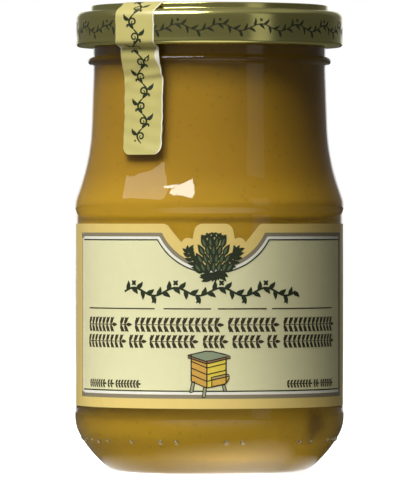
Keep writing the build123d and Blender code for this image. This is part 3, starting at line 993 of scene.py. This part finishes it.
def build_hive(drawn):
    """A box hive drawn in two views: boards, roof, porch and legs, and their outlines."""
    corner, left, right, foot, eave = -0.6, -4.1, 3.7, -3.3, 2.7
    rise_left, rise_right = 1.5, 1.0
    levels = np.linspace(foot, eave, 5)
    left_face, right_face, lines = [], [], []
    for low, high in zip(levels[:-1], levels[1:]):
        left_face.append([(left, low + rise_left), (corner, low), (corner, high),
                          (left, high + rise_left)])
        right_face.append([(corner, low), (right, low + rise_right),
                           (right, high + rise_right), (corner, high)])
        lines.append(line([(left, low + rise_left), (corner, low),
                           (right, low + rise_right)], 0.24))
    for x, rise in ((left, rise_left), (corner, 0), (right, rise_right)):
        lines.append(line([(x, foot + rise), (x, eave + rise)], 0.28))
    west, south, east, thick = (-4.9, 4.0), (corner, 2.6), (4.7, 3.9), 0.5
    edges = [[(x0, y0 - thick), (x1, y1 - thick), (x1, y1), (x0, y0)]
             for (x0, y0), (x1, y1) in ((west, south), (south, east))]
    lines.append(line([(x, y - thick) for x, y in (west, south, east)], 0.26))
    porch = [(0.5, -3.1), (3.8, -2.3), (4.6, -0.6), (0.5, -1.5)]
    sill = [(0.5, -1.5), (4.6, -0.6), (4.0, -0.1), (0.3, -0.95)]
    legs = [oblong(x - 0.35, top - down, x + 0.35, top) for x, top, down in (
        (-3.6, -1.9, 2.4), (-1.0, -3.1, 2.3), (3.1, -2.6, 1.4))]
    for leg, lean in zip(legs, (-0.5, -0.3, 0.4)):
        leg[:2] = [(x + lean, y) for x, y in leg[:2]]
    roof = [west, south, east, (-0.2, 5.1)]
    for shapes, width in (([roof], 0.26), ([porch, sill], 0.24), (legs, 0.2)):
        lines += [line([*shape, shape[0]], width) for shape in shapes]
    for name, fields, colour, lift in (
            ("legs", legs, "#A3A581", 0.048), ("boards_left", left_face, "#D9A94F", 0.05),
            ("boards_right", right_face, "#E9D14E", 0.05), ("porch", [porch], "#DDB04C", 0.06),
            ("sill", [sill], "#B8A468", 0.06), ("roof", [roof], "#8F9A7C", 0.06),
            ("roof_edge", edges, "#9C7850", 0.06)):
        ink = coated_paper(f"hive_{name}_ink", linear(colour))
        drawn(f"hive_{name}", patches(*fields), ink, HIVE_DEPTH, lift * MM, HIVE_ASIDE)
    ink = coated_paper("hive_outline_ink", linear("#33291A"))
    drawn("hive_outline", np.concatenate(lines), ink, HIVE_DEPTH, 0.075 * MM, HIVE_ASIDE)


def build_label_back(label, drawn):
    """Two cream panels with rows of dashes and a block of upright bars behind."""
    paper = coated_paper("back_panel_ink", label.paper)
    ink = coated_paper("back_print_ink", label.ink)
    panels = [field(np.arange(a, b + 0.5, 1.0), -36.5, -5.0) for a, b in ((44, 84), (-84, -44))]
    drawn("back_panels", np.concatenate(panels), paper)
    rng = np.random.default_rng(7)
    dashes = []
    for row in range(12):
        z = -8.0 - row * 1.9
        for a, b in ((47, 81), (-81, -64)):
            at = a
            while at < b - 2:
                reach = min(rng.uniform(2.0, 6.5), b - at)
                dashes.append(line([(at, z), (at + reach, z)], 0.42))
                at += reach + 0.9
    drawn("back_dashes", np.concatenate(dashes), ink, lift=OVERPRINT_LIFT)
    bars = []
    at = -61.0
    while at < -47.5:
        wide = rng.choice([0.25, 0.5, 0.75])
        bars.append(oblong(at, -32.0, at + wide, -12.0))
        at += wide + rng.choice([0.3, 0.55, 0.8])
    drawn("back_bars", patches(*bars), ink, lift=OVERPRINT_LIFT)


# ---- the seal strip ----
def tangent_angle(centre, radius, other, other_radius):
    """Angle at which a line touches two circles on the outer side of both: the direction
    between the centres plus acos of the radii's difference over their distance."""
    apart = other - centre
    difference = (radius - other_radius) / np.linalg.norm(apart)
    return math.atan2(apart[1], apart[0]) + math.acos(difference)


def strip_line():
    """Inner face of the strip in its upright plane, from the lid's top down to its end.

    It lies on the panel, bends over its edge, runs straight to the shoulder, goes down
    the skirt and in under the roll, hangs to the neck and follows neck and sweep.
    """
    edge = np.array([lid_panel_r, lid_top_z]) - PANEL_ROUND
    shoulder = np.array([skirt_r - SHOULDER_ROUND, lid_top_z - LID_STEP - SHOULDER_ROUND])
    edge_r, shoulder_r = PANEL_ROUND + GLUE_GAP, lid_r + GLUE_GAP - shoulder[0]
    lean = tangent_angle(edge, edge_r, shoulder, shoulder_r)
    over = math.degrees(lean)
    start = (lid_panel_r - STRIP_TOP_LENGTH, lid_top_z + GLUE_GAP)
    path = walk(start, 0, (edge[0] - start[0], 0), (edge_r, over - 90))
    onto = shoulder + shoulder_r * np.array([math.cos(lean), math.sin(lean)])
    path = walk(path, over - 90, (math.dist(path[-1], onto), 0), (shoulder_r, -over))
    path = walk(path, -90, (path[-1, 1] - lid_low_z - ROLL_RADIUS, 0),
                (ROLL_RADIUS + GLUE_GAP, -TUCK_TURN), (TUCK_RUN, 0), (TUCK_RADIUS, TUCK_TURN),
                (HANG, 0))
    bend_r = shoulder_sweep()[1] - GLUE_GAP
    sin_n, cos_n = math.sin(NECK_SLOPE), math.cos(NECK_SLOPE)
    foot = np.array([neck_foot_r + GLUE_GAP * cos_n, neck_low_z + GLUE_GAP * sin_n])
    on_neck = (lid_low_z - STRIP_TOUCH_DROP - neck_low_z) / cos_n
    bridge = foot + on_neck * np.array([-sin_n, cos_n]) - path[-1]
    path = walk(path, math.degrees(math.atan2(bridge[1], bridge[0])),
                (np.linalg.norm(bridge), 0))
    low = math.asin(sin_n + (foot[1] - strip_low_z) / bend_r)
    return walk(path, math.degrees(NECK_SLOPE) - 90, (on_neck, 0),
                (bend_r, math.degrees(low - NECK_SLOPE)))


def strip_surface(strip):
    """Returns place(across, up, lift) for the strip's inner face, its length in mm and
    how far up it passes the lid's lower edge.

    up runs from the low end to the end on the lid. The face bends with the radius it
    lies on, and less and less towards its flat end. Creases are soft ridges along
    slanting lines, added to the lift where it is above the inner face.
    """
    path = strip_line()[::-1]
    reach, ahead = reach_along(path), direction(path)
    total = reach[-1]
    lid_at = reach[int(np.argmax(path[:, 1] > lid_low_z))]

    def place(across, up, lift):
        across, at = across * MM, up * MM
        r, z = (np.interp(at, reach, path[:, i]) for i in (0, 1))
        out = np.stack([np.interp(at, reach, ahead[:, i]) for i in (1, 0)], -1)
        lift = lift + creases(strip, across, at, reach, path)
        r, z = r + out[..., 0] * lift, z - out[..., 1] * lift
        flat = np.clip((total - at) / STRIP_TOP_LENGTH - 0.2, 0, 1)
        forward = np.sqrt(r ** 2 - flat * across ** 2)
        sin_t, cos_t = math.sin(strip.turned), math.cos(strip.turned)
        return np.stack([across * cos_t + forward * sin_t,
                         across * sin_t - forward * cos_t, z], -1)
    return place, total / MM, lid_at / MM


def creases(strip, across, at, reach, path):
    """Height of the creases: ridges of a gaussian section along slanting lines, which fade
    down the neck, and a low sway. On the lid the paper lies flat."""
    heights = np.interp(at, reach, path[:, 1])
    side = across / strip.width
    total = 0 * at
    for drop, slant, broad, tall in CREASES:
        off = (heights - lid_low_z) / MM + drop - slant * side * 2
        total = total + tall * np.exp(-(off / broad) ** 2)
    sway = 0.12 * (1 + np.sin(heights / MM * 1.9 + side * 5))
    loose = np.clip((lid_low_z + LOOSE_ABOVE - heights) / LOOSE_OVER, 0, 1)
    fading = np.exp(-np.clip(lid_low_z - FADE_BELOW - heights, 0, None) / FADE_OVER)
    return strip.crumple * loose * (total * fading + sway)


def strip_outline(strip, total, inset_left=0.0, inset_right=0.0, rows=150, columns=17):
    """The strip's lattice in mm: its width, less the insets, with round corners at both
    ends, where the half width falls by a quarter circle, and a slightly uneven cut."""
    swing = np.linspace(0, math.pi, rows)
    up = total * (1 - np.cos(swing)) / 2
    corner = STRIP_CORNER / MM
    near_end = np.clip(np.minimum(up, total - up) / corner, 0, 1)
    narrowed = corner * (1 - np.sqrt(np.clip(1 - (1 - near_end) ** 2, 0, 1)))
    uneven = 0.06 * np.sin(up * 0.9) + 0.05 * np.sin(up * 2.3 + 1)
    half = (strip.width / 2 - STRIP_MARGIN) / MM - narrowed
    left, right = -half + uneven + inset_left, half + uneven * 0.7 - inset_right
    share = np.linspace(0, 1, columns)
    across = left[:, None] * (1 - share) + right[:, None] * share
    return np.stack([across, up[:, None] + 0 * across], -1)[None]


def build_strip(strip):
    """The strip as a closed band, its printed ground, and a vine that runs up it."""
    place, total, lid_at = strip_surface(strip)
    thick = STRIP_THICKNESS

    def band(name, grids, material, lift, sink):
        return make_piece(name, *slabs(grids, place, lift, sink), material, "strip_paper", 40.0)

    whole = strip_outline(strip, total)
    paper = coated_paper("seal_paper_thin", strip.paper)
    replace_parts(band("seal_strip_paper", whole, paper, thick, 0.0), "seal_strip")
    up = whole[0, :, 0, 1]
    worn = [margin + WORN * np.exp(-((up - lid_at + drop) / broad) ** 2)
            for margin, drop, broad in WORN_EDGES]
    band("seal_strip_ground", strip_outline(strip, total, *worn),
         coated_paper("seal_ground_ink", strip.ground, 0.30, 0.6), thick + 0.01 * MM, -thick)
    drawn = vine(4.6, total - 5.0, 7)
    turned = np.stack([2.3 - drawn[..., 1], drawn[..., 0] + total / 2], -1)
    band("seal_strip_vine", turned, coated_paper("seal_vine_ink", strip.ink),
         thick + 0.02 * MM, -thick)


# ---- the stage ----
def build_stage(stage):
    """A pale floor, a plain light all round, four lamps and the camera."""
    build_floor()
    build_world(stage)
    levels = (stage.key, stage.side, stage.card, stage.back)
    for name, radiance in zip(LAMPS, levels):
        softbox(name, Vector((0, 0, stage.aim_z)), *LAMPS[name], radiance)
    bpy.data.objects["back_fill"].visible_glossy = False
    build_camera(stage)
    bpy.context.scene.view_settings.view_transform = "Standard"


def softbox(name, target, azimuth, elevation, distance, width, height, radiance):
    """A rectangular lamp of that radiance, azimuth measured from the front to the right.

    Its power is radiance times pi times its area.
    """
    lamp = bpy.data.lights.new(name, "AREA")
    lamp.shape = "RECTANGLE"
    lamp.size, lamp.size_y = width, height
    lamp.energy = radiance * math.pi * width * height
    holder = put(name, lamp)
    rise = math.radians(elevation)
    away = Vector(around(math.cos(rise), math.radians(azimuth), math.sin(rise)))
    holder.location = target + away * distance
    holder.rotation_euler = away.to_track_quat("Z", "Y").to_euler()


def build_floor():
    """A pale floor that shows white to the camera and keeps the jar's shadow.

    A small pool, a ring under the jar and a far field glow for rays that gloss sends down.
    For rays through clear glass all of it glows, and for those that left the mustard only
    a near field. That field is pale to all rays but gloss, and the rest is a dark grey.
    """
    mesh = bpy.data.meshes.new("floor")
    corners = oblong(-FLOOR_HALF, -FLOOR_HALF, FLOOR_HALF, FLOOR_HALF)
    mesh.from_pydata([(x, y, FLOOR_Z) for x, y in corners], [], [(0, 1, 2, 3)])
    put("floor", mesh)
    material, tree, place = new_material("floor_pale_laminate")
    mesh.materials.append(material)
    path = add(tree, "LightPath")
    camera, glossy = (path, "Is Camera Ray"), (path, "Is Glossy Ray")

    def patch(at, x, y, inner, outer, level):
        away = distance(tree, at, (x * MM, y * MM, 0.0))
        return ramp(tree, away, inner * MM, outer * MM, level, 0.0)

    narrowed = scaled(tree, place, POOL_NARROWED)
    foot = maths(tree, "MAXIMUM", patch(narrowed, *POOL), patch(place, *RING))
    lit = maths(tree, "MAXIMUM", foot, patch(place, *FAR_FIELD))
    mirrored = maths(tree, "MULTIPLY", glossy, lit)
    near = patch(place, *NEAR_FIELD)
    first = maths(tree, "LESS_THAN", (path, "Diffuse Depth"), 0.5)
    boosted = maths(tree, "MULTIPLY", near, NEAR_BOOST)
    behind_glass = add(tree, "Mix", {0: first, 2: boosted, 3: 1.0})
    through = maths(tree, "MULTIPLY", (path, "Is Transmission Ray"), (behind_glass, 0))
    seen = maths(tree, "MAXIMUM", maths(tree, "MAXIMUM", camera, through), mirrored)
    share = ramp(tree, distance(tree, narrowed, (POOL[0] * MM, POOL[1] * MM, 0.0)),
                 SHADED_FROM, SHADED_TO, SHADED, 1.0)
    glow = add(tree, "Emission", {"Strength": maths(tree, "MULTIPLY", seen, share)})
    white = maths(tree, "MAXIMUM", camera, maths(tree, "SUBTRACT", near, glossy))
    pale = blend(tree, white, linear("#5E5E5B"), linear("#E8E8E6"))
    diffuse = add(tree, "BsdfDiffuse", {"Color": pale})
    end_with(tree, add(tree, "AddShader", {0: (glow, 0), 1: (diffuse, 0)}))


def build_world(stage):
    """White to the camera; to gloss and glass a dark room with a white wall straight
    behind the jar; and a plain dim light to everything else."""
    world = bpy.data.worlds.new("pale_studio")
    world.use_nodes = True
    tree = world.node_tree
    tree.nodes.clear()
    path = add(tree, "LightPath")
    camera = (path, "Is Camera Ray")
    way = add(tree, "SeparateXYZ", {0: (add(tree, "TexCoord"), "Generated")})
    dark = stage.surround
    room = ramp(tree, (way, "X"), *DARKER_RIGHT, LEFT_LEVEL * dark, dark)
    room = ramp(tree, (way, "Z"), *CEILING, room, CEILING_LEVEL * dark)
    room = ramp(tree, (way, "Y"), *WHITE_WALL, room, 1.0)
    mirror = maths(tree, "MAXIMUM", (path, "Is Glossy Ray"), (path, "Is Transmission Ray"))
    first = maths(tree, "LESS_THAN", (path, "Diffuse Depth"), 0.5)
    clear = maths(tree, "MULTIPLY", mirror, first)
    unseen = add(tree, "Mix", {0: clear, 2: stage.ambient, 3: room})
    level = add(tree, "Mix", {0: camera, 2: (unseen, 0), 3: 1.0})
    colour = blend(tree, maths(tree, "MAXIMUM", camera, clear), linear("#FFFAE0"),
                   linear("#FFFFFF"))
    back = add(tree, "Background", {"Color": colour, "Strength": (level, 0)})
    add(tree, "OutputWorld", {"Surface": (back, 0)})
    bpy.context.scene.world = world


def build_camera(stage):
    """A nearly level camera in front of the jar. The sensor's width lies along the upright
    side, so the lens is that width times the distance over the height that it shows."""
    data = bpy.data.cameras.new("camera")
    data.lens = data.sensor_width * stage.distance / stage.view_height
    data.clip_end = 20.0
    camera = put("camera", data)
    camera.location = (0, -stage.distance, stage.eye_z)
    drop = math.atan2(stage.eye_z - stage.aim_z, stage.distance)
    camera.rotation_euler = (math.pi / 2 - drop, 0, 0)
    bpy.context.scene.camera = camera


# ---- operators and panel ----
class JAR_OT_glass(bpy.types.Operator):
    """Build the glass jar and the marks on its heel"""

    bl_idname = "jar.glass"
    bl_label = "Glass Jar"

    def execute(self, context):
        build_glass(context.scene.jar_settings)
        return {"FINISHED"}


class JAR_OT_mustard(bpy.types.Operator):
    """Fill the jar with mustard"""

    bl_idname = "jar.mustard"
    bl_label = "Mustard"

    def execute(self, context):
        build_mustard(context.scene.jar_settings)
        return {"FINISHED"}


class JAR_OT_lid(bpy.types.Operator):
    """Build the lid and the garland printed on its skirt"""

    bl_idname = "jar.lid"
    bl_label = "Lid"

    def execute(self, context):
        build_lid(context.scene.jar_lid)
        return {"FINISHED"}


class JAR_OT_label(bpy.types.Operator):
    """Wrap the label round the jar, with its border and frame"""

    bl_idname = "jar.label"
    bl_label = "Label"

    def execute(self, context):
        build_label(context.scene.jar_label)
        return {"FINISHED"}


class JAR_OT_label_print(bpy.types.Operator):
    """Print the ornaments on the label"""

    bl_idname = "jar.label_print"
    bl_label = "Label Ornaments"

    def execute(self, context):
        build_label_print(context.scene.jar_label)
        return {"FINISHED"}


class JAR_OT_strip(bpy.types.Operator):
    """Lay the seal strip over the lid"""

    bl_idname = "jar.strip"
    bl_label = "Seal Strip"

    def execute(self, context):
        build_strip(context.scene.jar_strip)
        return {"FINISHED"}


class JAR_OT_stage(bpy.types.Operator):
    """Set up the floor, the lamps and the camera"""

    bl_idname = "jar.stage"
    bl_label = "Stage"

    def execute(self, context):
        build_stage(context.scene.jar_stage)
        return {"FINISHED"}


OPERATORS = (JAR_OT_glass, JAR_OT_mustard, JAR_OT_lid, JAR_OT_label, JAR_OT_label_print,
             JAR_OT_strip, JAR_OT_stage)


class JAR_PT_panel(bpy.types.Panel):
    """Lists the jar's pieces and the settings that each is built from"""

    bl_idname = "JAR_PT_panel"
    bl_label = "Mustard Jar"
    bl_space_type = "VIEW_3D"
    bl_region_type = "UI"
    bl_category = "Mustard Jar"

    def draw(self, context):
        for operator in OPERATORS:
            self.layout.operator(operator.bl_idname)
        for owner in SETTINGS:
            box = self.layout.box()
            group = getattr(context.scene, owner)
            for prop in group.__annotations__:
                box.prop(group, prop)


SETTINGS = {"jar_settings": JarSettings, "jar_lid": LidSettings, "jar_label": LabelSettings,
            "jar_strip": StripSettings, "jar_stage": StageSettings}
CLASSES = (*SETTINGS.values(), *OPERATORS, JAR_PT_panel)


def register():
    for cls in CLASSES:
        bpy.utils.register_class(cls)
    for owner, group in SETTINGS.items():
        setattr(bpy.types.Scene, owner, PointerProperty(type=group))


def unregister():
    for owner in SETTINGS:
        delattr(bpy.types.Scene, owner)
    for cls in reversed(CLASSES):
        bpy.utils.unregister_class(cls)


def main():
    """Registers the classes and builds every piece."""
    register()
    for build in (bpy.ops.jar.glass, bpy.ops.jar.mustard, bpy.ops.jar.lid, bpy.ops.jar.label,
                  bpy.ops.jar.label_print, bpy.ops.jar.strip, bpy.ops.jar.stage):
        build()


if __name__ == "__main__":
    main()
